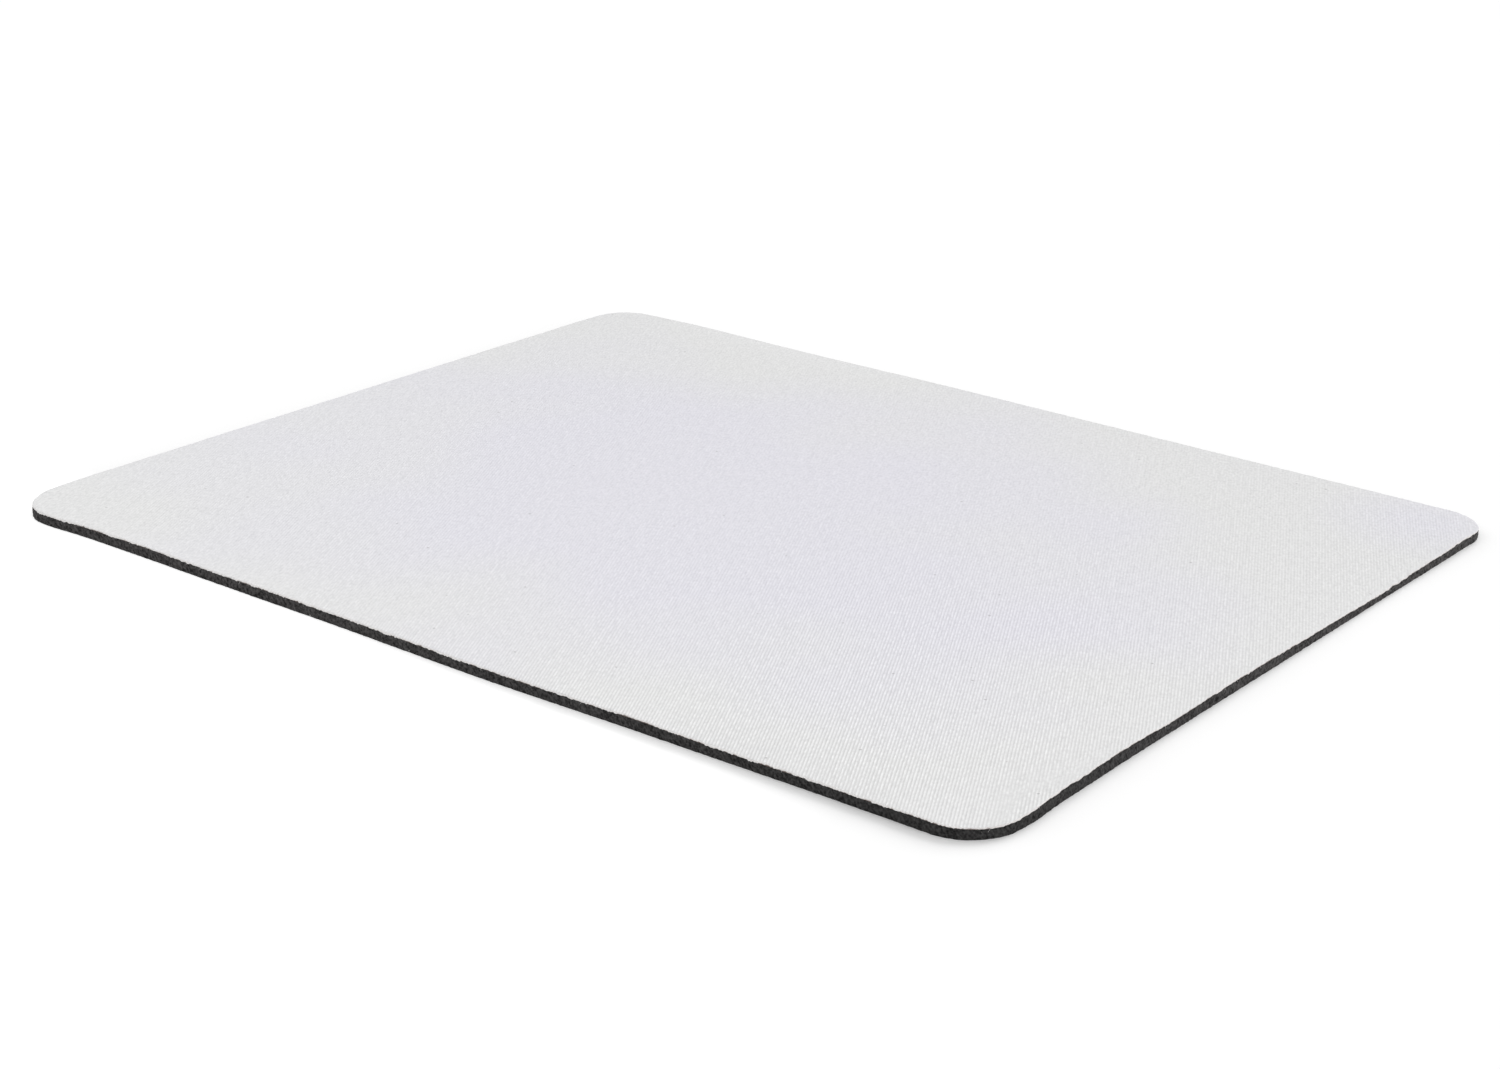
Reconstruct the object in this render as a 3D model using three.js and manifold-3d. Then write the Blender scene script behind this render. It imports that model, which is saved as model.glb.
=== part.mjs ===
// Mouse pad: a woven polyester face bonded by a thin film to a slab of foamed rubber.
// A knife cuts the three layers to one outline, and a wave tread is moulded into the underside.
// Millimetres, +Z up. The origin is the centre of the underside, and X runs along the long side.

import * as THREE from 'three';
import Module from 'manifold-3d';

const wasm = await Module();
wasm.setup();

// Driving dimensions: the cut outline
const padWidth = 300;
const padDepth = 250;
const cornerRadius = 12.5;

// Layers, from the underside up
const baseThickness = 2.5;
const filmThickness = 0.1;
const clothThickness = 0.4;

// Cut edge: the blade draws the cloth down, and the moulded skin rounds off below
const clothEdgeRounding = 0.2;
const skinEdgeRounding = 0.15;

// Tread: wavy grooves side by side, kept clear of the cut edge by a plain border
const treadBorder = 4;
const groovePitch = 6.25;
const grooveWidth = 2;
const grooveDepth = 0.25;
const waveLength = 60;
const waveHeight = 3;

// How far a cutter runs past the face that it opens
const cutOverrun = 0.5;

// Facet counts: steps in a corner, in an edge rounding and in one wave
const cornerSteps = 12;
const roundingSteps = 3;
const waveSteps = 8;

const materials = {
  cloth: new THREE.MeshStandardMaterial({ color: '#e4e4e7', roughness: 0.9, metalness: 0 }),
  film: new THREE.MeshStandardMaterial({ color: '#857670', roughness: 0.5, metalness: 0 }),
  rubber: new THREE.MeshStandardMaterial({ color: '#3a3a3b', roughness: 0.95, metalness: 0 }),
};

// The cut outline drawn in by an inset, at one height, counter-clockwise from the right side.
// Each corner is a quarter turn about its own centre, so the inset only shortens its radius.
function outlineRing(inset, height) {
  const corners = [[1, 1], [-1, 1], [-1, -1], [1, -1]];
  const quarterTurn = Math.PI / 2;
  return corners.flatMap(([sideX, sideY], corner) => {
    const centreX = sideX * (padWidth / 2 - cornerRadius);
    const centreY = sideY * (padDepth / 2 - cornerRadius);
    return Array.from({ length: cornerSteps + 1 }, (_, step) => {
      const angle = (corner + step / cornerSteps) * quarterTurn;
      const reach = cornerRadius - inset;
      return [centreX + reach * Math.cos(angle), centreY + reach * Math.sin(angle), height];
    });
  });
}

// A closed solid from equal rings of points: walls between neighbours and a flat cap at each end.
// A ring runs counter-clockwise when it is seen from the last ring.
function loftRings(rings) {
  const count = rings[0].length;
  const triangles = [];
  for (let level = 0; level + 1 < rings.length; level++) {
    for (let point = 0; point < count; point++) {
      const next = (point + 1) % count;
      const lower = level * count;
      const upper = lower + count;
      triangles.push(lower + point, lower + next, upper + next);
      triangles.push(lower + point, upper + next, upper + point);
    }
  }
  const last = (rings.length - 1) * count;
  for (let point = 1; point + 1 < count; point++) {
    triangles.push(0, point + 1, point);
    triangles.push(last, last + point, last + point + 1);
  }
  return new wasm.Manifold(new wasm.Mesh({
    numProp: 3,
    vertProperties: new Float32Array(rings.flat(2)),
    triVerts: new Uint32Array(triangles),
  }));
}

// A slab between cut walls, from levels of [inset, height] listed from the bottom up.
function slab(levels) {
  return loftRings(levels.map(([inset, height]) => outlineRing(inset, height)));
}

// Levels of a quarter-round edge between a wall and a face, turned up or down.
function roundedEdge(radius, faceHeight, direction) {
  return Array.from({ length: roundingSteps + 1 }, (_, step) => {
    const angle = (step / roundingSteps) * (Math.PI / 2);
    const inset = radius * (1 - Math.cos(angle));
    return [inset, faceHeight - direction * radius * (1 - Math.sin(angle))];
  });
}

// One groove cutter: a V section carried along a sine wave that runs the length of the pad.
function treadGroove(middleY) {
  const stepLength = waveLength / waveSteps;
  const steps = 2 * Math.ceil(padWidth / 2 / stepLength);
  const half = grooveWidth / 2;
  const stations = Array.from({ length: steps + 1 }, (_, step) => {
    const x = (step - steps / 2) * stepLength;
    const y = middleY + waveHeight * Math.sin((2 * Math.PI * x) / waveLength);
    return [
      [x, y, grooveDepth],
      [x, y - half, 0],
      [x, y - half, -cutOverrun],
      [x, y + half, -cutOverrun],
      [x, y + half, 0],
    ];
  });
  return loftRings(stations);
}

// All the grooves that fit whole between the borders, set evenly about the middle line.
function tread() {
  const reach = padDepth / 2 - treadBorder - waveHeight - grooveWidth / 2;
  const rowsEachSide = Math.floor(reach / groovePitch + 1 / 2);
  const grooves = Array.from({ length: 2 * rowsEachSide }, (_, row) =>
    treadGroove((row - rowsEachSide + 1 / 2) * groovePitch));
  const field = slab([[treadBorder, -cutOverrun], [treadBorder, grooveDepth + cutOverrun]]);
  return grooves.reduce((joined, groove) => joined.add(groove)).intersect(field);
}

function foamBase() {
  const lowerEdge = roundedEdge(skinEdgeRounding, 0, -1).reverse();
  const blank = slab([...lowerEdge, [0, baseThickness]]);
  return blank.subtract(tread());
}

function adhesiveFilm() {
  return slab([[0, 0], [0, filmThickness]]);
}

function clothFace() {
  const upperEdge = roundedEdge(clothEdgeRounding, clothThickness, 1);
  return slab([[0, 0], ...upperEdge]);
}

// A named mesh from a solid, lifted to the height where its layer starts.
function layer(name, solid, material, height) {
  const { vertProperties, triVerts } = solid.getMesh();
  const geometry = new THREE.BufferGeometry();
  geometry.setAttribute('position', new THREE.BufferAttribute(vertProperties, 3));
  geometry.setIndex(new THREE.BufferAttribute(triVerts, 1));
  geometry.computeVertexNormals();
  const mesh = new THREE.Mesh(geometry, material);
  mesh.name = name;
  mesh.position.z = height;
  return mesh;
}

const mousePad = new THREE.Group();
mousePad.add(layer('foam_base', foamBase(), materials.rubber, 0));
mousePad.add(layer('adhesive_film', adhesiveFilm(), materials.film, baseThickness));
mousePad.add(layer('cloth_face', clothFace(), materials.cloth, baseThickness + filmThickness));

export default mousePad;
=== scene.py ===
"""A mouse pad: white twill-woven polyester bonded by a thin film to black foamed rubber.

A knife cuts the three layers to one outline, so their edges are flush, a little wavy and slightly
ragged. Metres, +Z up, the long side along X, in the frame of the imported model.
"""

import bmesh
import bpy
import numpy as np
from mathutils import Matrix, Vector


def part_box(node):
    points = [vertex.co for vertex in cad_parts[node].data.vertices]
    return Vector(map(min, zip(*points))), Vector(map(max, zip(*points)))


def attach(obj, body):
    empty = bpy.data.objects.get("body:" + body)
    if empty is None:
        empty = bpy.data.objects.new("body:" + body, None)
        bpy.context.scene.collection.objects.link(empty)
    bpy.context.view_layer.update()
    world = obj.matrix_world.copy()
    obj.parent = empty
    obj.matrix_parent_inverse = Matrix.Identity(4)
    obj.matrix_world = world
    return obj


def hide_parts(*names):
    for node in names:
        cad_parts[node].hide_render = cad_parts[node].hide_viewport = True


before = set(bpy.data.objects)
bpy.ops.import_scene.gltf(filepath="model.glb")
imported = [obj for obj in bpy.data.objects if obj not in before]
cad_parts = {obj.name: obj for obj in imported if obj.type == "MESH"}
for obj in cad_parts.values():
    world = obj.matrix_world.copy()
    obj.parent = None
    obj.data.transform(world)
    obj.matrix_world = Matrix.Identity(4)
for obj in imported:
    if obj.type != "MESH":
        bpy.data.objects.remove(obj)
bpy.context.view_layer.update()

MM = 0.001

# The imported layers: half of their length and width, each one's top, and their corners' radius
HALF = np.array(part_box("foam_base")[1][:2])
BASE_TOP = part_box("foam_base")[1][2]
FILM_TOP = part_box("adhesive_film")[1][2]
CLOTH_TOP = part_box("cloth_face")[1][2]
CORNER_RADIUS = 12.5 * MM

# The twill's ribs, as a plan view shows them: their spacing and the way they run, from +X
RIB_PITCH = 0.766 * MM
RIB_ANGLE = np.radians(116.8)
RIB_ALONG = np.array([np.cos(RIB_ANGLE), np.sin(RIB_ANGLE)])
RIB_ACROSS = np.array([np.sin(RIB_ANGLE), -np.cos(RIB_ANGLE)])

# One float of the warp passes over each weft, so this is the weft's spacing along a rib
FLOAT_PITCH = 0.635 * MM

# Where the twill stands out most, just past the front edge, and how far from there its ribs begin
# and end to fade. They fade more slowly towards the back, as if that way were shorter
RIB_PEAK = (95 * MM, -130 * MM, 0)
RIB_FADE_SHAPE = (1, 0.75, 0)
RIB_FADE = (25 * MM, 155 * MM)

# The cloth's UV map, in millimetres along the ribs and across them
WEAVE_MAP = "Weave"

# Where the painted lilac reflection gathers a second time, and how far from there it starts and
# ends to fade
LILAC_REFLECTION_SPOT = (137 * MM, 112 * MM, CLOTH_TOP)
LILAC_REFLECTION_FADE = (6 * MM, 32 * MM)

# The foam's lower edge: the moulded skin turns up into the cut wall in a quarter-round
SKIN_ROUNDING = 0.15 * MM
SKIN_LEVELS = 4

# The tread moulded into the underside: wavy grooves side by side, inside a plain border
TREAD_BORDER = 4 * MM
GROOVE_PITCH = 6.25 * MM
GROOVE_WIDTH = 2 * MM
GROOVE_DEPTH = 0.25 * MM
WAVE_LENGTH = 60 * MM
WAVE_HEIGHT = 3 * MM

# How far inside the cut edge the hidden faces have rings of points, so that they follow a press
HIDDEN_RINGS = np.array([1.5, 4, 10]) * MM

# The sides of the cut outline, in millimetres from the middle
RIGHT, BACK = HALF / MM
LEFT, FRONT = -HALF / MM

# Where the knife left the cut line off the straight, in millimetres: (x, y, outwards, spread)
CUT_WAVES = MM * np.array([
    (15, FRONT, 0.87, 24),
    (-134.5, FRONT, 0.78, 6),
    (-100, FRONT, -0.3, 22),
    (-80, FRONT, 0.2, 35),
    (112, FRONT, -0.23, 17),
    (RIGHT - 3, FRONT + 6, -0.2, 5),
    (RIGHT, -107, 0.95, 7),
    (RIGHT, -87, 0.3, 9),
    (RIGHT, 98, 0.12, 14),
    (RIGHT - 1, BACK - 7, 0.28, 4),
    (-60, BACK, 0.4, 40),
    (LEFT + 10, BACK - 2, -1.8, 10),
    (LEFT + 1.5, FRONT + 6.5, -1, 5.5),
])

# A cut wave fades inside the outline as a bell curve this wide, and ends at the corner radius
CUT_WAVE_REACH = 20 * MM

# Where the knife squeezed the foam thinner or left it thicker, in millimetres: (x, y, upwards,
# spread). First the right side, then its front corner, then the front side, the left corner and
# the back side, and last the right side's scallops, where the blade caught
EDGE_PRESSES = MM * np.array([
    (RIGHT, 117, -0.12, 7),
    (RIGHT, 103, 0.22, 10),
    (RIGHT, 60, -0.55, 32),
    (RIGHT, 54, -0.2, 12),
    (RIGHT, 2, 0.12, 10),
    (RIGHT, -22, 0.3, 10),
    (RIGHT, -44, -0.15, 8),
    (RIGHT, -68, 0.4, 12),
    (RIGHT, -94, 0.38, 13),
    (RIGHT, 0, -0.06, 80),

    (RIGHT - 0.7, FRONT + 8.5, -0.19, 4.5),
    (RIGHT - 5.5, FRONT + 2.5, -0.25, 6),

    (138, FRONT, 0.2, 9),
    (121, FRONT, -0.2, 9),
    (88, FRONT, -0.22, 12),
    (32, FRONT, -0.12, 22),
    (60, FRONT, 0.15, 8),
    (39, FRONT, 0.18, 3),
    (-60, FRONT, 0.12, 12),
    (-74, FRONT, -0.05, 8),
    (0, FRONT, 0.03, 90),
    (-98, FRONT, 0.2, 12),
    (LEFT + 6, FRONT + 3, 0.1, 4),
    (-80, BACK, -0.45, 30),

    (RIGHT, 60, 0.12, 0.9),
    (RIGHT, 61.7, -0.15, 0.7),
    (RIGHT, 65.2, 0.2, 1.1),
    (RIGHT, 67.6, -0.3, 0.8),
    (RIGHT, 72.2, -0.28, 0.9),
    (RIGHT, 75, 0.1, 0.9),
    (RIGHT, 92, -0.18, 1.2),
    (RIGHT, 105.5, 0.15, 2),
])

# How far inside the outline a press has fallen to about a third
PRESS_REACH = 3.5 * MM


# Shapes

def smooth_noise(shape, steps, seed):
    """Random values of about unit size on a grid, averaged with their neighbours this many times
    along each axis. Opposite ends count as neighbours, because a ring of points closes."""
    field = np.random.default_rng(seed).standard_normal(shape)
    for axis, times in enumerate(steps):
        for _ in range(times):
            field = (np.roll(field, 1, axis) + 2 * field + np.roll(field, -1, axis)) / 4
    return field / field.std()


def inset(points):
    """How far each point lies inside the cut outline: a box with round corners, so it is the
    corner radius less the distance from an inner box, or more where the point is inside that."""
    beyond = np.abs(points[..., :2]) - (HALF - CORNER_RADIUS)
    outside = np.linalg.norm(np.maximum(beyond, 0), axis=-1)
    return CORNER_RADIUS - outside - np.minimum(beyond.max(-1), 0)


def outward(points):
    """The unit direction from the outline's inner box to each point."""
    inner = HALF - CORNER_RADIUS
    away = points[..., :2] - np.clip(points[..., :2], -inner, inner)
    return away / np.maximum(np.linalg.norm(away, axis=-1, keepdims=True), 1e-9)


def outline(count):
    """Points round the cut outline, evenly spaced and counter-clockwise from the right side's
    middle: four quarter circles about the corners' centres, joined by straight sides."""
    corner_points = 100
    turns = np.linspace(0, np.pi / 2, corner_points)
    signs = np.array([(1, 1), (-1, 1), (-1, -1), (1, -1)])
    angles = (turns + np.arange(4)[:, None] * np.pi / 2)[..., None]
    arcs = np.concatenate([np.cos(angles), np.sin(angles)], -1) * CORNER_RADIUS
    corners = (arcs + (signs * (HALF - CORNER_RADIUS))[:, None]).reshape(-1, 2)
    start = [[HALF[0], 0]]
    path = np.concatenate([start, corners, start])
    along = np.concatenate([[0], np.cumsum(np.linalg.norm(np.diff(path, axis=0), axis=1))])
    at = np.arange(count) / count * along[-1]
    return np.stack([np.interp(at, along, path[:, k]) for k in range(2)], -1)


def chords(levels):
    """Where lines along the ribs cross the cut outline: each line lies at a level across the ribs,
    and each of its two ends comes from one half of the outline."""
    fine_count = 40000
    ring = outline(fine_count)
    ring = np.roll(ring, -int(np.argmin(ring @ RIB_ACROSS)), axis=0)
    turn = int(np.argmax(ring @ RIB_ACROSS))
    halves = ring[:turn + 1], ring[turn:][::-1]
    ends = [np.interp(levels, half @ RIB_ACROSS, half @ RIB_ALONG) for half in halves]
    return np.minimum(*ends), np.maximum(*ends)


def bumps(points, places):
    """The sum of round bumps: each has a height and falls off as a bell curve of its spread."""
    total = np.zeros(points.shape[:-1])
    for x, y, height, spread in places:
        away = ((points[..., 0] - x) ** 2 + (points[..., 1] - y) ** 2) / (2 * spread ** 2)
        total += height * np.exp(-away)
    return total


def as_cut(points):
    """The points of a layer moved as the knife left them. The cut waves push the edge out or in
    and fade over a short way inside it. The presses squeeze the foam in proportion to the height
    in it, and the film and cloth go down whole with its top."""
    depth = np.maximum(inset(points), 0)
    moved = points.copy()
    out = bumps(points, CUT_WAVES) * np.exp(-(depth / CUT_WAVE_REACH) ** 2)
    moved[..., :2] += outward(points) * (out * np.clip(1 - depth / CORNER_RADIUS, 0, 1))[..., None]
    press = bumps(points, EDGE_PRESSES) * np.exp(-depth / PRESS_REACH)
    moved[..., 2] += press * np.minimum(points[..., 2] / BASE_TOP, 1)
    return moved


def at_height(points, height):
    """Plan points lifted to a height, which may be one for all or one each."""
    return np.concatenate([points, np.broadcast_to(height, points.shape[:-1])[..., None]], -1)


def hidden_face(ring, height):
    """Rings of points that carry a cut edge inwards at one height, and one point at the middle."""
    rings = [at_height(ring[:, :2] - outward(ring) * step, height) for step in HIDDEN_RINGS]
    return np.concatenate(rings), np.array([[0, 0, height]])


def grid_border(numbers):
    """The numbers round the border of a grid, once each, starting along its first row."""
    first_row, last_column = numbers[0], numbers[1:, -1]
    last_row, first_column = numbers[-1, -2::-1], numbers[-2:0:-1, 0]
    return np.concatenate([first_row, last_column, last_row, first_column])


def grid_faces(rows, columns, wrap=False):
    """The quads of a grid of points numbered row by row, with its last column joined to its
    first if it wraps."""
    row, column = np.mgrid[0:rows - 1, 0:columns - (not wrap)]
    after = (column + 1) % columns
    quads = [row * columns + column, row * columns + after]
    quads += [(row + 1) * columns + after, (row + 1) * columns + column]
    return np.stack(quads, -1).reshape(-1, 4)


def fan_faces(ring, middle):
    """Triangles from each step along a closed ring to one middle point."""
    return np.stack([ring, np.roll(ring, -1), np.full(len(ring), middle)], -1)


def zip_faces(points, ring, other):
    """Triangles between two closed rings of unlike counts, given as numbers of points. The points
    of both are put in order of their angle about the origin, and each step along either ring
    closes one triangle on the other's latest point."""
    angles = [np.arctan2(points[each, 1], points[each, 0]) for each in (ring, other)]
    orders = [np.argsort(each) for each in angles]
    ring, other = ring[orders[0]], other[orders[1]]
    merged = np.concatenate([angles[0][orders[0]], angles[1][orders[1]]])
    first = np.argsort(merged, kind="stable") < len(ring)
    at, other_at = np.cumsum(first) - 1, np.cumsum(~first) - 1
    before = np.where(first, ring[at - 1], other[other_at - 1])
    return np.stack([before, ring[at], other[other_at]], -1)


def new_object(name, data):
    """An object of the scene that holds a mesh, a lamp or a camera."""
    holder = bpy.data.objects.new(name, data)
    bpy.context.scene.collection.objects.link(holder)
    return holder


def make_piece(name, points, face_groups, materials):
    """An object at the origin from points and groups of faces, each group with the number of its
    material. It is shaded smooth, its faces are turned outwards, and it rides on the root."""
    mesh = bpy.data.meshes.new(name)
    faces = [face for group, _ in face_groups for face in group.tolist()]
    mesh.from_pydata(as_cut(points), [], faces)
    for material in materials:
        mesh.materials.append(material)
    numbers = np.concatenate([np.full(len(group), number) for group, number in face_groups])
    mesh.polygons.foreach_set("material_index", numbers.astype(np.int32))
    mesh.polygons.foreach_set("use_smooth", np.ones(len(mesh.polygons), bool))
    build = bmesh.new()
    build.from_mesh(mesh)
    bmesh.ops.recalc_face_normals(build, faces=build.faces)
    build.to_mesh(mesh)
    build.free()
    mesh.update()
    piece = new_object(name, mesh)
    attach(piece, "root")
    return piece


def set_plan_map(piece, name, scale):
    """A UV map that looks straight down: U runs along the ribs and V across them."""
    mesh = piece.data
    places = np.zeros(3 * len(mesh.vertices), np.float32)
    mesh.vertices.foreach_get("co", places)
    corners = np.zeros(len(mesh.loops), np.int32)
    mesh.loops.foreach_get("vertex_index", corners)
    plan = places.reshape(-1, 3)[corners, :2] @ np.stack([RIB_ALONG, RIB_ACROSS], -1)
    uv_layer = mesh.uv_layers.new(name=name)
    uv_layer.uv.foreach_set("vector", (plan * scale).astype(np.float32).ravel())


# Pieces

def woven_top():
    """The cloth's top as a grid of points. Its rows lie along the ribs, four to a rib, as chords of
    the outline, and each ends a little short or long of it, as the cut threads do. The height is
    the cloth's top, less a trough between the ribs and a quarter-round at the cut edge. The troughs
    are a raised cosine to a power, and they get shallower away from where the twill stands out."""
    rows_per_rib = 4
    rib_depth, pressed_share, trough_power = 0.07 * MM, 0.25, 1.5
    rounding = 0.2 * MM

    # How far a row ends off the outline: by its trough, by itself, and along with its neighbours
    notch, fray, wander = 0.07 * MM, 0.08 * MM, 0.08 * MM

    # The outer points of a row, by their distance from its end, and the points between them
    edge_steps = np.array([0, 0.06, 0.16, 0.45, 1.3]) * MM
    inner_columns = 21

    # A row this many times as long as its edge steps, or longer, frays in full or has full steps
    full_fray, full_steps = 4, 3

    reach = np.abs(RIB_ACROSS) @ (HALF - CORNER_RADIUS) + CORNER_RADIUS
    half_rows = int(reach / RIB_PITCH * rows_per_rib)
    rows = 2 * half_rows + 1
    level = (np.arange(rows) - half_rows) * RIB_PITCH / rows_per_rib
    valley = 0.5 - 0.5 * np.cos(2 * np.pi * level / RIB_PITCH)
    low, high = chords(level)
    ragged = fray * smooth_noise((2, rows), (0, 1), seed=3)
    ragged += wander * smooth_noise((2, rows), (0, 40), seed=5)
    ragged += notch * (valley - 0.5)
    ragged *= np.minimum(1, (high - low) / (full_fray * edge_steps[-1]))
    low, high = low + ragged[0], high - ragged[1]

    steps = edge_steps * np.minimum(1, (high - low) / (full_steps * edge_steps[-1]))[:, None]
    start, stop = (low + steps[:, -1])[:, None], (high - steps[:, -1])[:, None]
    inner = start + np.linspace(0, 1, inner_columns + 2)[1:-1] * (stop - start)
    place = np.concatenate([low[:, None] + steps, inner, (high[:, None] - steps)[:, ::-1]], 1)
    flat = place[..., None] * RIB_ALONG + level[:, None, None] * RIB_ACROSS

    lean = np.abs(outward(flat[:, [0, -1]]) @ RIB_ALONG)
    from_ends = (place - low[:, None]) * lean[:, :1], (high[:, None] - place) * lean[:, 1:]
    depth = np.minimum(np.minimum(*from_ends), np.maximum(inset(flat) + fray, 0))
    near = np.clip(rounding - depth, 0, rounding)
    height = CLOTH_TOP - (rounding - np.sqrt(rounding ** 2 - near ** 2))
    away = np.linalg.norm((flat - RIB_PEAK[:2]) * RIB_FADE_SHAPE[:2], axis=-1)
    relief = rib_depth * np.interp(away, RIB_FADE, (1, pressed_share))
    height -= relief * (valley ** trough_power)[:, None] * np.clip(depth / rounding, 0, 1)
    return at_height(flat, height)


def thread_wall(rim):
    """The wall of cut threads below the rim of the cloth's top, as a grid of points round it. Its
    levels go down by shares of the way to a lip, and bulge a little. The lip hangs over the film
    here and there, by a sum of noises over one thread, a few threads and a few centimetres. The
    last level is tucked in, where the cloth meets the film."""
    drop_shares = np.array([0.35, 0.7, 1])
    bulges = np.array([0.02, 0.02, 0]) * MM
    unevenness = 0.02 * MM
    tuck = 0.15 * MM

    # How far the lip hangs down, in millimetres, and its noises: (size, steps of smoothing, seed)
    droop_offset, droop_least, droop_most = -0.08, -0.25, 0.35
    droop_noises = [(0.07, 1, 11), (0.05, 8, 12), (0.07, 150, 13)]

    count, levels = len(rim), len(drop_shares)
    droop = sum(size * smooth_noise(count, (steps,), seed) for size, steps, seed in droop_noises)
    droop = np.clip(droop + droop_offset, droop_least, droop_most) * MM
    lip = FILM_TOP - droop
    bulge = bulges[:, None] + unevenness * smooth_noise((levels, count), (0, 1), seed=14)
    wall = np.repeat(rim[None], levels + 1, 0)
    wall[:-1, :, :2] += outward(rim) * bulge[..., None]
    wall[:-1, :, 2] += (lip - rim[:, 2]) * drop_shares[:, None]
    wall[-1] = at_height(rim[:, :2] - outward(rim) * tuck, FILM_TOP)
    return wall


def cloth_face(materials, fringe):
    """The woven face as one closed mesh: its top, the wall of cut threads round it, and a flat
    hidden face on the film. The first material is the twill, and the second is its cut edge, which
    is also on the outermost columns of the top."""
    frayed_columns = 2

    top = woven_top()
    rows, columns = top.shape[:2]
    ring = grid_border(np.arange(rows * columns).reshape(rows, columns))
    top = top.reshape(-1, 3)
    wall = thread_wall(top[ring])
    under, middle = hidden_face(wall[-1], FILM_TOP)
    points = np.concatenate([top, wall.reshape(-1, 3), under, middle])

    bands = np.concatenate([ring, np.arange(len(top), len(points) - 1)]).reshape(-1, len(ring))
    quads = bands.ravel()[grid_faces(len(bands), len(ring), wrap=True)]
    wall_quads = len(wall) * len(ring)
    top_quads = grid_faces(rows, columns).reshape(rows - 1, columns - 1, 4)
    ends = top_quads[:, :frayed_columns], top_quads[:, -frayed_columns:]
    groups = [
        (top_quads[:, frayed_columns:-frayed_columns].reshape(-1, 4), 0),
        (np.concatenate(ends).reshape(-1, 4), 1),
        (quads[:wall_quads], 1),
        (quads[wall_quads:], 0),
        (fan_faces(bands[-1], len(points) - 1), 0),
    ]
    piece = make_piece("woven_cloth_face", points, groups, materials)
    set_plan_map(piece, WEAVE_MAP, 1 / MM)
    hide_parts("cloth_face")


def frayed_yarns(material):
    """Short yarn ends that the knife left hanging from the cut edge. Each is a thin tube of five
    sides whose middle line leaves the cloth outwards and falls off as a parabola, leaning to one
    side, and its radius narrows to the tip."""
    count, rings, sides = 60, 6, 5
    places = 4000
    root_height = BASE_TOP + 0.2 * MM
    rooted_share, taper, lean_power = 0.3, 0.7, 1.5

    # A section's second half width reaches out and up alike, so it is a little flattened
    slant_share = 0.6

    rng = np.random.default_rng(31)
    start = outline(places)[rng.integers(0, places, count)]
    out = outward(start)
    beside = np.stack([-out[:, 1], out[:, 0]], -1)
    length = rng.uniform(0.15, 0.75, count) * MM
    spread = rng.uniform(0.15, 0.5, count)
    lean = rng.uniform(-0.9, 0.9, count)
    along = np.linspace(0, 1, rings)
    reach = (along - rooted_share) * (spread * length)[:, None]
    sideways = along ** lean_power * (lean * length)[:, None]
    line = start[:, None] + reach[..., None] * out[:, None] + sideways[..., None] * beside[:, None]
    height = root_height - along ** 2 * length[:, None]
    radius = rng.uniform(0.03, 0.05, count)[:, None] * MM * (1 - taper * along)

    turn = np.arange(sides) / sides * 2 * np.pi
    across, slanted = radius[..., None] * np.cos(turn), radius[..., None] * np.sin(turn)
    plan = line[:, :, None] + across[..., None] * beside[:, None, None]
    plan = plan + slant_share * slanted[..., None] * out[:, None, None]
    points = at_height(plan, height[..., None] + slant_share * slanted)
    tube = grid_faces(rings, sides, wrap=True)
    starts = np.arange(count)[:, None, None] * rings * sides
    caps = np.array([np.arange(sides)[::-1], np.arange(sides) + (rings - 1) * sides])
    groups = [((starts + tube).reshape(-1, 4), 0), ((starts + caps).reshape(-1, sides), 0)]
    points = points.reshape(-1, 3)
    return make_piece("frayed_yarn_ends", points, groups, [material])


def adhesive_film(material):
    """The film as a closed slab: its edge keeps just inside the cut, between two flat faces."""
    count, shy = 1500, 0.15 * MM
    edge = outline(count)
    edge = edge - outward(edge) * shy
    lower, low_middle = hidden_face(edge, BASE_TOP)
    upper, high_middle = hidden_face(edge, FILM_TOP)
    lower = lower.reshape(-1, count, 3)[::-1].reshape(-1, 3)
    points = np.concatenate([
        lower, at_height(edge, BASE_TOP), at_height(edge, FILM_TOP), upper, low_middle, high_middle,
    ])
    bands = 2 * (len(HIDDEN_RINGS) + 1)
    ring = np.arange(count)
    groups = [
        (grid_faces(bands, count, wrap=True), 0),
        (fan_faces(ring[::-1], bands * count), 0),
        (fan_faces(ring + (bands - 1) * count, bands * count + 1), 0),
    ]
    piece = make_piece("bonding_film", points, groups, [material])
    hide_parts("adhesive_film")


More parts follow.
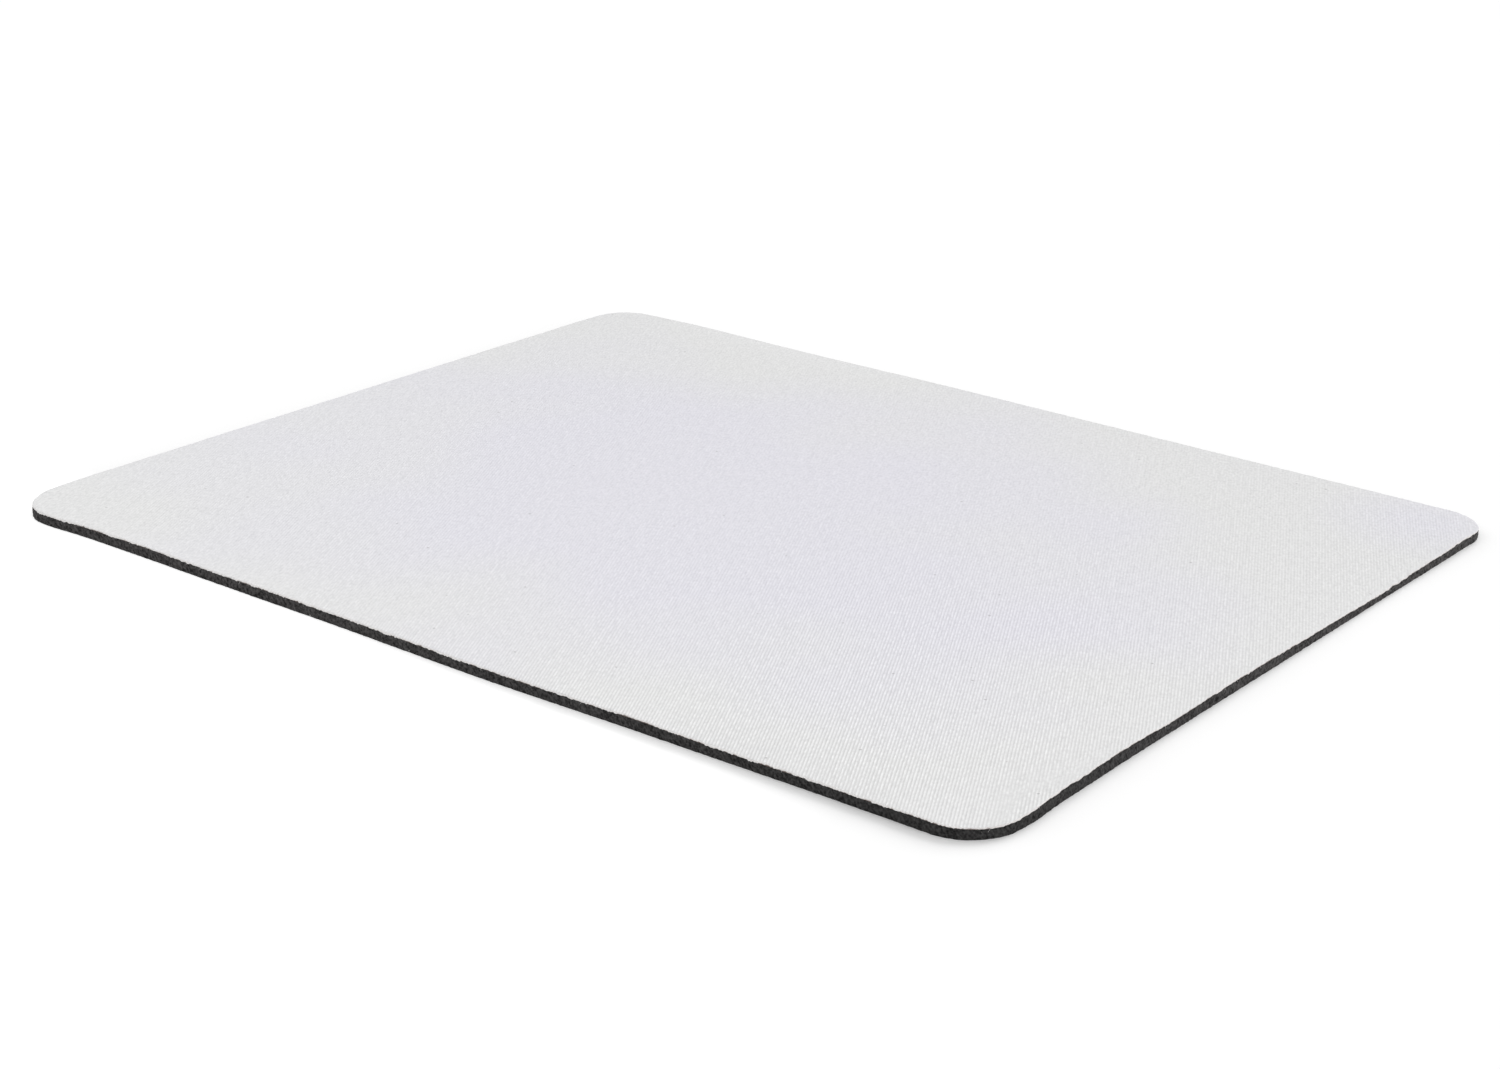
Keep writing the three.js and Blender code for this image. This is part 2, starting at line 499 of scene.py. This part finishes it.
def foam_wall(edge):
    """The foam's wall as a grid round the outline, from the underside up: a quarter-round of skin,
    and above it the knife-cut face. A fine grain and a coarse one move the wall out and in, and the
    open halves of the pores hollow the cut face, where a third noise is high. The lowest level is
    plain, and the top one keeps just inside the outline."""
    cut_levels = 9
    fine_grain, coarse_grain = 0.012 * MM, 0.048 * MM
    pore_depth, pore_threshold, pore_limit = 0.05 * MM, 1.3, 1.5
    top_shy = 0.03 * MM

    turns = np.linspace(0, np.pi / 2, SKIN_LEVELS)
    cut_heights = np.linspace(SKIN_ROUNDING, BASE_TOP, cut_levels + 1)[1:]
    insets = np.concatenate([SKIN_ROUNDING * (1 - np.sin(turns)), np.zeros(cut_levels)])
    heights = np.concatenate([SKIN_ROUNDING * (1 - np.cos(turns)), cut_heights])
    shape = len(heights), len(edge)
    grain = fine_grain * smooth_noise(shape, (0, 0), seed=17)
    grain += coarse_grain * smooth_noise(shape, (2, 4), seed=19)
    pores = smooth_noise(shape, (0, 1), seed=23) - pore_threshold
    pores = pore_depth * np.clip(pores, 0, pore_limit)
    pores[:SKIN_LEVELS - 1] = 0
    moved = (grain - pores - insets[:, None])[..., None] * outward(edge)
    wall = at_height(edge + moved, heights[:, None])
    wall[0] = at_height(edge - outward(edge) * SKIN_ROUNDING, 0)
    wall[-1, :, :2] = edge - outward(edge) * top_shy
    return wall


def tread_grid():
    """The underside's field as a grid: columns along X and five rows to a groove. A groove's middle
    line is a sine wave, its section a cosine trough, and its depth fades out at the border."""
    rows_per_groove, inner_columns = 5, 79
    end_length = 0.6 * MM

    half_groove = GROOVE_WIDTH / 2
    reach = HALF[1] - TREAD_BORDER - WAVE_HEIGHT - half_groove
    per_side = int(reach / GROOVE_PITCH + 0.5)
    middles = (np.arange(2 * per_side) - per_side + 0.5) * GROOVE_PITCH
    offsets = np.linspace(-half_groove, half_groove, rows_per_groove)
    trough = 0.5 + 0.5 * np.cos(np.pi * offsets / half_groove)
    groove_rows = (middles[:, None] + offsets).ravel()
    edge = HALF - TREAD_BORDER
    rows = np.concatenate([[-edge[1]], groove_rows, [edge[1]]])
    depth = np.concatenate([[0], np.tile(trough, len(middles)), [0]]) * GROOVE_DEPTH
    sway = np.concatenate([[0], np.ones(len(groove_rows)), [0]]) * WAVE_HEIGHT
    columns = np.linspace(-edge[0] + end_length, edge[0] - end_length, inner_columns)
    columns = np.concatenate([[-edge[0]], columns, [edge[0]]])
    x, y = np.meshgrid(columns, rows)
    y = y + sway[:, None] * np.sin(2 * np.pi * x / WAVE_LENGTH)
    flat = np.stack([x, y], -1)
    fade = np.clip((inset(flat) - TREAD_BORDER) / end_length, 0, 1)
    return at_height(flat, depth[:, None] * fade)


def foam_base(materials):
    """The foamed rubber as one closed mesh: its wall, with a flat hidden face on top, and below
    it a flat ring beside the wall, which a plain border joins to the tread's grid. The first
    material is the cut rubber, and the second is the skin."""
    point_spacing = 0.25 * MM

    perimeter = 4 * (HALF - CORNER_RADIUS).sum() + 2 * np.pi * CORNER_RADIUS
    count = int(perimeter / point_spacing)
    edge = outline(count)
    flat_ring = at_height(edge - outward(edge) * 2 * SKIN_ROUNDING, 0)
    wall = foam_wall(edge)
    upper, middle = hidden_face(edge, BASE_TOP)
    field = tread_grid()
    rows, columns = field.shape[:2]
    points = np.concatenate([flat_ring, wall.reshape(-1, 3), upper, middle, field.reshape(-1, 3)])

    ring = np.arange(count)
    bands = 1 + len(wall) + len(HIDDEN_RINGS)
    top_middle = bands * count
    field_start = top_middle + 1
    field_ring = grid_border(field_start + np.arange(rows * columns).reshape(rows, columns))
    quads = grid_faces(bands, count, wrap=True)
    skin_quads = SKIN_LEVELS * count
    groups = [
        (quads[:skin_quads], 1),
        (quads[skin_quads:], 0),
        (fan_faces(ring + (bands - 1) * count, top_middle), 0),
        (field_start + grid_faces(rows, columns), 1),
        (zip_faces(points, field_ring, ring), 1),
    ]
    piece = make_piece("cut_foam_base", points, groups, materials)
    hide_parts("foam_base")


# Materials

def linear(hex_colour):
    """An sRGB hex colour as linear red, green, blue and alpha."""
    srgb = np.array([int(hex_colour[i:i + 2], 16) for i in (1, 3, 5)]) / 255
    low, high = srgb / 12.92, ((srgb + 0.055) / 1.055) ** 2.4
    return (*np.where(srgb <= 0.04045, low, high), 1)


def add(tree, kind, inputs=(), **settings):
    """A new node with its settings, and with its inputs set to values or linked to sockets."""
    node = tree.nodes.new(kind)
    for name, value in settings.items():
        setattr(node, name, value)
    for name, value in dict(inputs).items():
        if isinstance(value, bpy.types.NodeSocket):
            tree.links.new(value, node.inputs[name])
        else:
            node.inputs[name].default_value = value
    return node


def new_material(name):
    """A material and its node tree, which is empty."""
    material = bpy.data.materials.new(name)
    material.use_nodes = True
    tree = material.node_tree
    tree.nodes.clear()
    return material, tree


def rib_strength(tree, place):
    """How much the ribs stand out: in full by their peak, and pressed almost flat away from it."""
    from_peak = add(tree, "ShaderNodeVectorMath", {
        0: place, 1: RIB_PEAK,
    }, operation="SUBTRACT").outputs[0]
    shaped = add(tree, "ShaderNodeVectorMath", {
        0: from_peak, 1: RIB_FADE_SHAPE,
    }, operation="MULTIPLY").outputs[0]
    away = add(tree, "ShaderNodeVectorMath", {0: shaped}, operation="LENGTH").outputs["Value"]
    return add(tree, "ShaderNodeMapRange", {
        "Value": away, "From Min": RIB_FADE[0], "From Max": RIB_FADE[1], "To Min": 1, "To Max": 0.08,
    }).outputs[0]


def rib_texture(tree, weave, dashes):
    """The ribs and their floats as one height, which the cloth's colour also takes as painted light
    on the ribs and painted shade in the troughs between them: a cosine across the ribs, stronger and
    weaker by the dashes, and a weaker cosine of the warp's floats along each rib, which steps over by
    a third of its turn from rib to rib."""
    axes = add(tree, "ShaderNodeSeparateXYZ", {0: weave})
    along, across = axes.outputs[0], axes.outputs[1]
    rib_turns = 2 * np.pi / (RIB_PITCH / MM)
    float_turns = 2 * np.pi / (FLOAT_PITCH / MM)
    rib_turn = add(tree, "ShaderNodeMath", {0: across, 1: rib_turns}, operation="MULTIPLY").outputs[0]
    rib = add(tree, "ShaderNodeMath", {0: rib_turn}, operation="COSINE").outputs[0]
    raised = add(tree, "ShaderNodeMapRange", {
        "Value": dashes, "From Min": 0.35, "From Max": 0.65, "To Min": 0.5, "To Max": 1.15,
    }).outputs[0]
    broken = add(tree, "ShaderNodeMath", {0: rib, 1: raised}, operation="MULTIPLY").outputs[0]
    step = add(tree, "ShaderNodeMath", {0: across, 1: rib_turns / 3}, operation="MULTIPLY").outputs[0]
    float_turn = add(tree, "ShaderNodeMath", {
        0: along, 1: float_turns, 2: step,
    }, operation="MULTIPLY_ADD").outputs[0]
    floats = add(tree, "ShaderNodeMath", {0: float_turn}, operation="COSINE").outputs[0]
    return add(tree, "ShaderNodeMath", {
        0: floats, 1: 0.3, 2: broken,
    }, operation="MULTIPLY_ADD").outputs[0]


def yarn_mottle(tree, weave, dashes):
    """Mottling by the yarns' uneven thickness, which is as strong all over: a noise over a few
    ribs, and three times as much of the dashes."""
    mottle_scale = (1 / 5, 1 / 2.2, 1)
    mottle_place = add(tree, "ShaderNodeMapping", {
        "Vector": weave, "Scale": mottle_scale,
    }).outputs[0]
    mottle = add(tree, "ShaderNodeTexNoise", {
        "Vector": mottle_place, "Scale": 1, "Detail": 3,
    }).outputs[0]
    return add(tree, "ShaderNodeMath", {
        0: dashes, 1: 3, 2: mottle,
    }, operation="MULTIPLY_ADD").outputs[0]


def painted_lilac_reflection(tree, place):
    """How much painted lilac reflection lies on the cloth: most near the middle, a little to the left
    of it, and gone by the edges, with a slow drift over about 70 mm. It gathers again by the right
    corner."""
    drift = add(tree, "ShaderNodeTexNoise", {
        "Vector": place, "Scale": 1 / (70 * MM), "Detail": 1,
    }).outputs[0]
    from_middle = add(tree, "ShaderNodeVectorMath", {
        0: place, 1: (1 / HALF[0], 1 / HALF[1], 0), 2: (0.12, 0.06, 0),
    }, operation="MULTIPLY_ADD").outputs[0]
    outwards = add(tree, "ShaderNodeVectorMath", {
        0: from_middle,
    }, operation="LENGTH").outputs["Value"]
    drifted = add(tree, "ShaderNodeMath", {
        0: drift, 1: -1.2, 2: outwards,
    }, operation="MULTIPLY_ADD").outputs[0]
    broad = add(tree, "ShaderNodeMapRange", {
        "Value": drifted, "From Min": 0.55, "From Max": -0.15,
    }).outputs[0]
    # A second pool of painted lilac reflection by the right corner
    from_spot = add(tree, "ShaderNodeVectorMath", {
        0: place, 1: LILAC_REFLECTION_SPOT,
    }, operation="DISTANCE").outputs["Value"]
    spot = add(tree, "ShaderNodeMapRange", {
        "Value": from_spot, "From Min": LILAC_REFLECTION_FADE[1], "From Max": LILAC_REFLECTION_FADE[0], "To Max": 0.8,
    }).outputs[0]
    return add(tree, "ShaderNodeMath", {0: broad, 1: spot}, operation="MAXIMUM").outputs[0]


def cloth_colour(tree, place, share):
    """The cloth's colour from dark to bright by a share, which carries painted light and shade, and
    from neutral to lilac by the painted lilac reflection.
    Faint dark specks of about 0.6 mm lie a few centimetres apart on it, where a yarn has a knot or
    some dust."""
    neutral = add(tree, "ShaderNodeMix", {
        0: share, 6: linear("#cacaca"), 7: linear("#fcfcfc"),
    }, data_type="RGBA").outputs[2]
    lilac = add(tree, "ShaderNodeMix", {
        0: share, 6: linear("#c8c7cf"), 7: linear("#faf9ff"),
    }, data_type="RGBA").outputs[2]
    # The painted lilac reflection over the neutral cloth
    cloth = add(tree, "ShaderNodeMix", {
        0: painted_lilac_reflection(tree, place), 6: neutral, 7: lilac,
    }, data_type="RGBA").outputs[2]
    knots = add(tree, "ShaderNodeTexVoronoi", {
        "Vector": place, "Scale": 1 / (9 * MM),
    }).outputs["Distance"]
    speck = add(tree, "ShaderNodeMapRange", {
        "Value": knots, "From Min": 0.05, "From Max": 0.025, "To Max": 0.55,
    }).outputs[0]
    return add(tree, "ShaderNodeMix", {
        0: speck, 6: cloth, 7: linear("#a5a3a4"),
    }, data_type="RGBA").outputs[2]


def twill_polyester():
    """White polyester woven in a steep twill and heat-set. Matt, with fine ribs that break up where
    the yarns vary, painted light on the ribs and painted shade in the troughs between them, painted
    shade that greys it towards the back edge, and a painted lilac reflection that drifts a little."""
    material, tree = new_material("twill_woven_polyester")
    weave = add(tree, "ShaderNodeUVMap", uv_map=WEAVE_MAP).outputs[0]
    place = add(tree, "ShaderNodeTexCoord").outputs["Object"]

    # Dashes along the ribs, about 1.4 mm long and one rib wide, where a yarn lies higher or lower
    dash_scale = (1 / 1.4, 1 / 0.75, 1)
    dash_place = add(tree, "ShaderNodeMapping", {"Vector": weave, "Scale": dash_scale}).outputs[0]
    dashes = add(tree, "ShaderNodeTexNoise", {
        "Vector": dash_place, "Scale": 1, "Detail": 2,
    }).outputs[0]
    texture = rib_texture(tree, weave, dashes)

    # Painted shade: the cloth greys a little from its front edge to its back edge, standing in for
    # light that falls off towards the back
    back_way = add(tree, "ShaderNodeSeparateXYZ", {0: place}).outputs["Y"]
    painted_back_shade = add(tree, "ShaderNodeMapRange", {
        "Value": back_way, "From Min": -HALF[1], "From Max": HALF[1], "To Min": 0, "To Max": -0.4,
    }).outputs[0]
    # The yarns' own mottle, with the painted shade towards the back added to it
    uneven = add(tree, "ShaderNodeMath", {
        0: yarn_mottle(tree, weave, dashes), 1: painted_back_shade,
    }, operation="ADD").outputs[0]
    # The ribs' height goes into the colour too, as painted light on their tops and painted shade in
    # the troughs between them
    painted_shade_and_mottle = add(tree, "ShaderNodeMath", {
        0: texture, 1: rib_strength(tree, place), 2: uneven,
    }, operation="MULTIPLY_ADD").outputs[0]
    share = add(tree, "ShaderNodeMapRange", {
        "Value": painted_shade_and_mottle, "From Min": -0.05, "From Max": 4.05,
    }).outputs[0]
    colour = cloth_colour(tree, place, share)

    # Fibres of 0.02 mm are too fine to show, so they are drawn as a grain of 0.15 mm
    grain_scale = (1 / 0.4, 1 / 0.15, 1)
    grain_place = add(tree, "ShaderNodeMapping", {"Vector": weave, "Scale": grain_scale}).outputs[0]
    grain = add(tree, "ShaderNodeTexNoise", {
        "Vector": grain_place, "Scale": 1, "Detail": 2,
    }).outputs[0]
    relief = add(tree, "ShaderNodeMath", {
        0: grain, 1: 0.8, 2: texture,
    }, operation="MULTIPLY_ADD").outputs[0]
    bump = add(tree, "ShaderNodeBump", {
        "Height": relief, "Distance": 0.012 * MM, "Strength": 1,
    }).outputs[0]
    rough = add(tree, "ShaderNodeMapRange", {
        "Value": share, "To Min": 0.92, "To Max": 0.78,
    }).outputs[0]
    shader = add(tree, "ShaderNodeBsdfPrincipled", {
        "Base Color": colour, "Roughness": rough, "Normal": bump,
        "Specular IOR Level": 0.2, "Sheen Weight": 0.04, "Sheen Roughness": 0.4,
    })
    add(tree, "ShaderNodeOutputMaterial", {"Surface": shader.outputs[0]})
    return material


def cut_cloth_edge():
    """The same cloth where the knife cut it: yarn ends side by side, bright and a little warm. Along
    the front edge a painted highlight makes them whiter, which draws a fine pale line of light over
    the rubber."""
    material, tree = new_material("cut_twill_edge")
    place = add(tree, "ShaderNodeTexCoord").outputs["Object"]
    ends = add(tree, "ShaderNodeTexNoise", {
        "Vector": place, "Scale": 1 / (0.3 * MM), "Detail": 2,
    }).outputs[0]
    share = add(tree, "ShaderNodeMapRange", {
        "Value": ends, "From Min": 0.35, "From Max": 0.65,
    }).outputs[0]
    pressed = add(tree, "ShaderNodeMix", {
        0: share, 6: linear("#dad5d3"), 7: linear("#f3f0ef"),
    }, data_type="RGBA").outputs[2]
    # Painted highlight: whiter yarn ends along the front edge, a line of light
    opened = add(tree, "ShaderNodeMix", {
        0: share, 6: linear("#f3eeec"), 7: linear("#ffffff"),
    }, data_type="RGBA").outputs[2]
    # The painted highlight's share: full at the front edge
    back_way = add(tree, "ShaderNodeSeparateXYZ", {0: place}).outputs["Y"]
    front = add(tree, "ShaderNodeMapRange", {
        "Value": back_way, "From Min": -118 * MM, "From Max": -124 * MM,
    }).outputs[0]
    colour = add(tree, "ShaderNodeMix", {
        0: front, 6: pressed, 7: opened,
    }, data_type="RGBA").outputs[2]
    bump = add(tree, "ShaderNodeBump", {"Height": ends, "Distance": 0.08 * MM}).outputs[0]
    shader = add(tree, "ShaderNodeBsdfPrincipled", {
        "Base Color": colour, "Roughness": 0.95, "Normal": bump, "Specular IOR Level": 0.3,
    })
    add(tree, "ShaderNodeOutputMaterial", {"Surface": shader.outputs[0]})
    return material


def melted_film():
    """Hot-melt film, milky, coloured a dull brown-grey partly for the black foam seen through it and
    partly as painted shade in the seam. It flowed a little as it was pressed, so its sheen is uneven.
    """
    material, tree = new_material("hot_melt_film")
    place = add(tree, "ShaderNodeTexCoord").outputs["Object"]
    flow = add(tree, "ShaderNodeTexNoise", {
        "Vector": place, "Scale": 1 / (2 * MM), "Detail": 3,
    }).outputs[0]
    # A dull brown-grey: partly the black foam through the film, partly painted shade in the seam
    colour = add(tree, "ShaderNodeMix", {
        0: flow, 6: linear("#6d5f5a"), 7: linear("#9c8d86"),
    }, data_type="RGBA").outputs[2]
    rough = add(tree, "ShaderNodeMapRange", {
        "Value": flow, "To Min": 0.35, "To Max": 0.6,
    }).outputs[0]
    shader = add(tree, "ShaderNodeBsdfPrincipled", {
        "Base Color": colour, "Roughness": rough, "IOR": 1.49,
    })
    add(tree, "ShaderNodeOutputMaterial", {"Surface": shader.outputs[0]})
    return material


def cut_cells(tree, place):
    """The opened cells as one height: cells of about 0.6 mm, a grain, and the blade's marks. The
    marks lean over by half their height along the edge, and are drawn out in height."""
    cells = add(tree, "ShaderNodeTexVoronoi", {
        "Vector": place, "Scale": 1 / (0.6 * MM),
    }).outputs["Distance"]
    grain = add(tree, "ShaderNodeTexNoise", {
        "Vector": place, "Scale": 1 / (0.8 * MM), "Detail": 3, "Roughness": 0.65,
    }).outputs[0]
    height = add(tree, "ShaderNodeSeparateXYZ", {0: place}).outputs["Z"]
    heights = add(tree, "ShaderNodeCombineXYZ", {0: height, 1: height, 2: height}).outputs[0]
    leant = add(tree, "ShaderNodeVectorMath", {
        0: heights, 1: (0.5, 0.5, -0.85), 2: place,
    }, operation="MULTIPLY_ADD").outputs[0]
    marks = add(tree, "ShaderNodeTexNoise", {
        "Vector": leant, "Scale": 1 / (0.6 * MM), "Detail": 1,
    }).outputs[0]
    walls = add(tree, "ShaderNodeMath", {
        0: cells, 1: 0.35, 2: grain,
    }, operation="MULTIPLY_ADD").outputs[0]
    return add(tree, "ShaderNodeMath", {
        0: marks, 1: 0.5, 2: walls,
    }, operation="MULTIPLY_ADD").outputs[0]


def cut_foamed_rubber():
    """Black rubber foamed with closed cells and cut by a knife, which opens them: a dead matt
    charcoal, mottled by cells of about 0.6 mm, with slanting marks of the blade and a little lint.
    It is blackest by the front right corner and greys a little away from it, as painted light."""
    material, tree = new_material("knife_cut_foamed_rubber")
    place = add(tree, "ShaderNodeTexCoord").outputs["Object"]
    cut = cut_cells(tree, place)
    share = add(tree, "ShaderNodeMapRange", {
        "Value": cut, "From Min": 0.7, "From Max": 1.15,
    }).outputs[0]
    dark = add(tree, "ShaderNodeMix", {
        0: share, 6: linear("#0c0c0c"), 7: linear("#444343"),
    }, data_type="RGBA").outputs[2]
    # Painted light: a greyer rubber away from the front right corner, as if lit more there, mixed in
    # below by the distance from that corner
    pale = add(tree, "ShaderNodeMix", {
        0: share, 6: linear("#161515"), 7: linear("#595757"),
    }, data_type="RGBA").outputs[2]
    away = add(tree, "ShaderNodeVectorMath", {
        0: place, 1: (HALF[0], -HALF[1], 0),
    }, operation="DISTANCE").outputs["Value"]
    drift = add(tree, "ShaderNodeMapRange", {
        "Value": away, "From Min": 20 * MM, "From Max": 160 * MM,
    }).outputs[0]
    rubber = add(tree, "ShaderNodeMix", {0: drift, 6: dark, 7: pale}, data_type="RGBA").outputs[2]

    # Lint from the cloth, a speck of about 0.5 mm every centimetre or two
    lint = add(tree, "ShaderNodeTexVoronoi", {
        "Vector": place, "Scale": 1 / (7 * MM),
    }).outputs["Distance"]
    speck = add(tree, "ShaderNodeMapRange", {
        "Value": lint, "From Min": 0.045, "From Max": 0.03, "To Min": 0, "To Max": 0.7,
    }).outputs[0]
    colour = add(tree, "ShaderNodeMix", {
        0: speck, 6: rubber, 7: linear("#c9c6c4"),
    }, data_type="RGBA").outputs[2]
    bump = add(tree, "ShaderNodeBump", {
        "Height": cut, "Distance": 0.1 * MM, "Strength": 0.8,
    }).outputs[0]
    shader = add(tree, "ShaderNodeBsdfPrincipled", {
        "Base Color": colour, "Roughness": 0.95, "Normal": bump, "Specular IOR Level": 0.25,
    })
    add(tree, "ShaderNodeOutputMaterial", {"Surface": shader.outputs[0]})
    return material


def moulded_rubber_skin():
    """The underside's skin, pressed against a woven belt as it cured: black, with a faint print of
    the belt 0.7 mm apart, a soft sheen, and dusty patches that are paler and duller."""
    material, tree = new_material("moulded_rubber_skin")
    place = add(tree, "ShaderNodeTexCoord").outputs["Object"]
    belt_turns = 2 * np.pi / (0.7 * MM)
    turned = add(tree, "ShaderNodeMapping", {
        "Vector": place, "Rotation": (0, 0, np.radians(45)), "Scale": (belt_turns,) * 3,
    }).outputs[0]
    axes = add(tree, "ShaderNodeSeparateXYZ", {0: turned})
    warp = add(tree, "ShaderNodeMath", {0: axes.outputs[0]}, operation="SINE").outputs[0]
    weft = add(tree, "ShaderNodeMath", {0: axes.outputs[1]}, operation="SINE").outputs[0]
    belt_print = add(tree, "ShaderNodeMath", {0: warp, 1: weft}, operation="MULTIPLY").outputs[0]
    grain = add(tree, "ShaderNodeTexNoise", {
        "Vector": place, "Scale": 1 / (0.4 * MM), "Detail": 3,
    }).outputs[0]
    height = add(tree, "ShaderNodeMath", {
        0: belt_print, 1: 0.4, 2: grain,
    }, operation="MULTIPLY_ADD").outputs[0]
    dust = add(tree, "ShaderNodeTexNoise", {
        "Vector": place, "Scale": 1 / (18 * MM), "Detail": 4,
    }).outputs[0]
    share = add(tree, "ShaderNodeMapRange", {
        "Value": dust, "From Min": 0.35, "From Max": 0.7,
    }).outputs[0]
    colour = add(tree, "ShaderNodeMix", {
        0: share, 6: linear("#2b2b2c"), 7: linear("#3a3a3a"),
    }, data_type="RGBA").outputs[2]
    bump = add(tree, "ShaderNodeBump", {
        "Height": height, "Distance": 0.05 * MM, "Strength": 0.8,
    }).outputs[0]
    rough = add(tree, "ShaderNodeMapRange", {
        "Value": share, "To Min": 0.62, "To Max": 0.85,
    }).outputs[0]
    shader = add(tree, "ShaderNodeBsdfPrincipled", {
        "Base Color": colour, "Roughness": rough, "Normal": bump,
        "IOR": 1.52, "Specular IOR Level": 0.4,
    })
    add(tree, "ShaderNodeOutputMaterial", {"Surface": shader.outputs[0]})
    return material


# Floor, world, lights and camera

def white_floor():
    """A matt white floor. Its own light to the camera lifts it to the photograph's plain white, and
    lifts away the contact shadow in front of the pad, more and more towards the left."""
    half_width = 4
    material, tree = new_material("matt_white_floor")
    rays = add(tree, "ShaderNodeLightPath")
    diffuse = add(tree, "ShaderNodeBsdfDiffuse", {"Color": linear("#fbfbfb")}).outputs[0]
    place = add(tree, "ShaderNodeTexCoord").outputs["Object"]
    axes = add(tree, "ShaderNodeSeparateXYZ", {0: place})
    leftward = add(tree, "ShaderNodeMapRange", {
        "Value": axes.outputs["X"], "From Min": 120 * MM, "From Max": -40 * MM, "To Max": 0.5,
    }).outputs[0]
    forward = add(tree, "ShaderNodeMapRange", {
        "Value": axes.outputs["Y"], "From Min": -90 * MM, "From Max": -125 * MM,
    }).outputs[0]
    lift = add(tree, "ShaderNodeMath", {
        0: leftward, 1: forward, 2: 0.065,
    }, operation="MULTIPLY_ADD").outputs[0]
    glow = add(tree, "ShaderNodeMath", {
        0: rays.outputs["Is Camera Ray"], 1: lift,
    }, operation="MULTIPLY").outputs[0]
    light = add(tree, "ShaderNodeEmission", {"Strength": glow}).outputs[0]
    both = add(tree, "ShaderNodeAddShader", {0: diffuse, 1: light}).outputs[0]
    add(tree, "ShaderNodeOutputMaterial", {"Surface": both})

    signs = [(-1, -1), (1, -1), (1, 1), (-1, 1)]
    corners = [(half_width * x, half_width * y, 0) for x, y in signs]
    mesh = bpy.data.meshes.new("floor")
    mesh.from_pydata(corners, [], [(0, 1, 2, 3)])
    mesh.materials.append(material)
    new_object("floor", mesh)


def white_world(ambient):
    """A world that is plain white to see and to reflect, and that gives the object this share of
    its light, from all sides."""
    world = bpy.data.worlds.new("white_studio")
    bpy.context.scene.world = world
    world.use_nodes = True
    tree = world.node_tree
    tree.nodes.clear()
    rays = add(tree, "ShaderNodeLightPath")
    seen = add(tree, "ShaderNodeMath", {
        0: rays.outputs["Is Camera Ray"], 1: rays.outputs["Is Glossy Ray"],
    }, operation="MAXIMUM").outputs[0]
    seen = add(tree, "ShaderNodeMath", {
        0: seen, 1: rays.outputs["Is Transmission Ray"],
    }, operation="MAXIMUM").outputs[0]
    strength = add(tree, "ShaderNodeMapRange", {
        "Value": seen, "To Min": ambient, "To Max": 1,
    }).outputs[0]
    background = add(tree, "ShaderNodeBackground", {
        "Color": linear("#ffffff"), "Strength": strength,
    }).outputs[0]
    add(tree, "ShaderNodeOutputWorld", {"Surface": background})


def soft_light(name, towards, width, irradiance):
    """A broad soft box far off in one direction, so wide in degrees, that gives a level surface this
    share of full white. A share of one takes pi, and a lean from the vertical takes 1 / cosine."""
    towards = np.array(towards) / np.linalg.norm(towards)
    data = bpy.data.lights.new(name, "SUN")
    data.angle = np.radians(width)
    data.energy = irradiance * np.pi / towards[2]
    side = np.cross([0, 0, 1], towards)
    side /= np.linalg.norm(side)
    turn = np.stack([side, np.cross(towards, side), towards], -1)
    new_object(name, data).matrix_world = Matrix(turn.tolist()).to_4x4()


def camera():
    """A camera at the photograph's angle: it looks back along an azimuth and an elevation at a
    target on the floor, and rolls a little about its line of sight."""
    azimuth, elevation, roll = np.radians([36.623, 20.419, 1.854])
    distance = 754.56 * MM
    target = np.array([3.805, -9.891, 0]) * MM
    back = np.array([
        np.sin(azimuth) * np.cos(elevation), -np.cos(azimuth) * np.cos(elevation), np.sin(elevation),
    ])
    right = np.cross(-back, [0, 0, 1])
    right /= np.linalg.norm(right)
    up = np.cross(right, -back)
    rolled_right = np.cos(roll) * right + np.sin(roll) * up
    rolled_up = np.cos(roll) * up - np.sin(roll) * right
    turn = Matrix(np.stack([rolled_right, rolled_up, back], -1).tolist()).to_4x4()
    data = bpy.data.cameras.new("camera")
    data.sensor_width = 36
    data.lens = 69.63
    data.clip_start = 10 * MM
    holder = new_object("camera", data)
    holder.matrix_world = Matrix.Translation(target + distance * back) @ turn
    bpy.context.scene.camera = holder


# The scene

cut_edge = cut_cloth_edge()
cloth_face([twill_polyester(), cut_edge], fringe=frayed_yarns(cut_edge))
adhesive_film(melted_film())
foam_base([cut_foamed_rubber(), moulded_rubber_skin()])

white_floor()
white_world(ambient=0.675)
soft_light("back", towards=(-0.05, 0.75, 0.45), width=40, irradiance=0.26)
soft_light("side", towards=(0.95, 0.1, 0.35), width=30, irradiance=0.05)
camera()

bpy.context.scene.view_settings.view_transform = "Standard"
